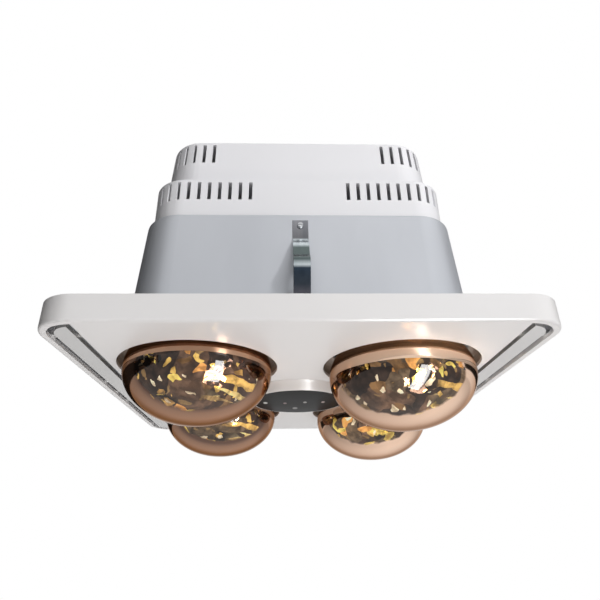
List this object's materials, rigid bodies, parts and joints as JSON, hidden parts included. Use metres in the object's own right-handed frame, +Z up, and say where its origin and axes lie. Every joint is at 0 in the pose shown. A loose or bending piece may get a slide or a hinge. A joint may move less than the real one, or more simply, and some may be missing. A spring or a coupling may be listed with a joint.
{
  "type": "bathroom heat lamp",
  "caption": "Ceiling-recessed bathroom heater with infrared reflector lamps in a square fascia, a vented housing with an extractor fan, and spring straps",
  "frame": {"origin": "middle of the fascia in the plane of the ceiling, which the back of the fascia's rim rests on", "axes": "+Z up into the ceiling, -Y to the front of the picture, +X to its right"},
  "size_m": [0.38, 0.38, 0.272],
  "materials": {
    "fascia_white": "moulded white ABS, satin gloss",
    "cover_white": "moulded white ABS",
    "screw_steel": "zinc plated steel",
    "window_dark": "smoked acrylic",
    "board_green": "glass fibre board with lights",
    "cover_grey": "moulded grey plastic",
    "cup_aluminium": "spun and anodised",
    "lamp_glass": "tinted glass, silvered behind",
    "filament_metal": "tungsten wire on a glass stem",
    "cap_metal": "rolled cap with a black insulator",
    "ceramic_white": null,
    "socket_brass": "pressed brass",
    "bridge_steel": "galvanised strip",
    "tub_steel": "grey coated sheet steel",
    "tier_white": "moulded white plastic",
    "spring_steel": "zinc plated spring steel",
    "inlet_black": "moulded black plastic",
    "impeller_white": "moulded nylon",
    "shaft_steel": "ground steel",
    "rotor_iron": "stacked iron sheets",
    "bush_brass": "sintered bronze",
    "winding_copper": null,
    "motor_zinc": "zinc plated steel can",
    "relay_blue": "moulded relay covers",
    "block_ivory": "moulded terminal block",
    "cutout_dark": "phenolic disc with tabs",
    "gland_grey": "moulded nylon",
    "wire_red": null
  },
  "bodies": {
    "housing": {"fascia": "fascia_white", "slot_cover_left": "cover_white", "slot_cover_right": "cover_white", "cover_screws": "screw_steel", "window_bezel": "fascia_white", "window_lens": "window_dark", "receiver_board": "board_green", "receiver_cover": "cover_grey", "receiver_screws": "screw_steel", "lamp_cup_front_left": "cup_aluminium", "lamp_cup_front_right": "cup_aluminium", "lamp_cup_back_left": "cup_aluminium", "lamp_cup_back_right": "cup_aluminium", "cup_screws": "screw_steel", "lamp_holders": "ceramic_white", "socket_contacts": "socket_brass", "holder_bridge_left": "bridge_steel", "holder_bridge_right": "bridge_steel", "holder_screws": "screw_steel", "deck_screws": "screw_steel", "tub": "tub_steel", "flange_screws": "screw_steel", "lower_tier": "tier_white", "upper_tier": "tier_white", "tier_screws": "screw_steel", "spring_feet": "spring_steel", "spring_screws": "screw_steel", "inlet_ring": "inlet_black", "motor_bushes": "bush_brass", "stator": "winding_copper", "motor_can": "motor_zinc", "motor_plate": "motor_zinc", "motor_bracket": "bridge_steel", "motor_screws": "screw_steel", "control_board": "board_green", "relays": "relay_blue", "terminal_block": "block_ivory", "thermal_cutout": "cutout_dark", "cable_gland": "gland_grey", "wiring": "wire_red"},
    "fan": {"impeller": "impeller_white", "impeller_nut": "screw_steel", "motor_shaft": "shaft_steel", "rotor": "rotor_iron"},
    "cap_front_left": {"lamp_cap_front_left": "cap_metal"},
    "bulb_front_left": {"lamp_glass_front_left": "lamp_glass", "lamp_filament_front_left": "filament_metal"},
    "cap_front_right": {"lamp_cap_front_right": "cap_metal"},
    "bulb_front_right": {"lamp_glass_front_right": "lamp_glass", "lamp_filament_front_right": "filament_metal"},
    "cap_back_left": {"lamp_cap_back_left": "cap_metal"},
    "bulb_back_left": {"lamp_glass_back_left": "lamp_glass", "lamp_filament_back_left": "filament_metal"},
    "cap_back_right": {"lamp_cap_back_right": "cap_metal"},
    "bulb_back_right": {"lamp_glass_back_right": "lamp_glass", "lamp_filament_back_right": "filament_metal"},
    "spring_front": {"spring_leaf_front": "spring_steel"},
    "spring_back": {"spring_leaf_back": "spring_steel"},
    "spring_left": {"spring_leaf_left": "spring_steel"},
    "spring_right": {"spring_leaf_right": "spring_steel"}
  },
  "joints": [
    {"name": "fan_spin", "type": "hinge", "parent": "housing", "child": "fan", "pos_m": [0, 0, 0.15], "axis": [0, 0, 1], "continuous": true},
    {"name": "lamp_travel_front_left", "type": "slide", "parent": "housing", "child": "cap_front_left", "axis": [0, 0, -1], "range_m": [0, 0.01454]},
    {"name": "lamp_turn_front_left", "type": "hinge", "parent": "cap_front_left", "child": "bulb_front_left", "pos_m": [-0.0875, -0.0875, 0], "axis": [0, 0, -1], "range_deg": [0, 1440]},
    {"name": "lamp_travel_front_right", "type": "slide", "parent": "housing", "child": "cap_front_right", "axis": [0, 0, -1], "range_m": [-0.00547, 0.0091]},
    {"name": "lamp_turn_front_right", "type": "hinge", "parent": "cap_front_right", "child": "bulb_front_right", "pos_m": [0.0875, -0.0875, 0], "axis": [0, 0, -1], "range_deg": [-540, 900]},
    {"name": "lamp_travel_back_left", "type": "slide", "parent": "housing", "child": "cap_back_left", "axis": [0, 0, -1], "range_m": [0, 0.01454]},
    {"name": "lamp_turn_back_left", "type": "hinge", "parent": "cap_back_left", "child": "bulb_back_left", "pos_m": [-0.0875, 0.0875, 0], "axis": [0, 0, -1], "range_deg": [0, 1440]},
    {"name": "lamp_travel_back_right", "type": "slide", "parent": "housing", "child": "cap_back_right", "axis": [0, 0, -1], "range_m": [-0.00547, 0.0091]},
    {"name": "lamp_turn_back_right", "type": "hinge", "parent": "cap_back_right", "child": "bulb_back_right", "pos_m": [0.0875, 0.0875, 0], "axis": [0, 0, -1], "range_deg": [-540, 900]},
    {"name": "spring_flex_front", "type": "hinge", "parent": "housing", "child": "spring_front", "pos_m": [0, -0.14127, 0.0758], "axis": [1, 0, 0], "range_deg": [0, 5], "stiffness_Nm_per_rad": 4},
    {"name": "spring_flex_back", "type": "hinge", "parent": "housing", "child": "spring_back", "pos_m": [0, 0.14127, 0.0758], "axis": [-1, 0, 0], "range_deg": [0, 5], "stiffness_Nm_per_rad": 4},
    {"name": "spring_flex_left", "type": "hinge", "parent": "housing", "child": "spring_left", "pos_m": [-0.14127, 0, 0.0758], "axis": [0, -1, 0], "range_deg": [0, 5], "stiffness_Nm_per_rad": 4},
    {"name": "spring_flex_right", "type": "hinge", "parent": "housing", "child": "spring_right", "pos_m": [0.14127, 0, 0.0758], "axis": [0, 1, 0], "range_deg": [0, 5], "stiffness_Nm_per_rad": 4}
  ],
  "couplings": [
    {"joint": "lamp_travel_front_left", "follows": "lamp_turn_front_left", "m_per_rad": 0.00057773},
    {"joint": "lamp_travel_front_right", "follows": "lamp_turn_front_right", "m_per_rad": 0.00057773},
    {"joint": "lamp_travel_back_left", "follows": "lamp_turn_back_left", "m_per_rad": 0.00057773},
    {"joint": "lamp_travel_back_right", "follows": "lamp_turn_back_right", "m_per_rad": 0.00057773}
  ]
}
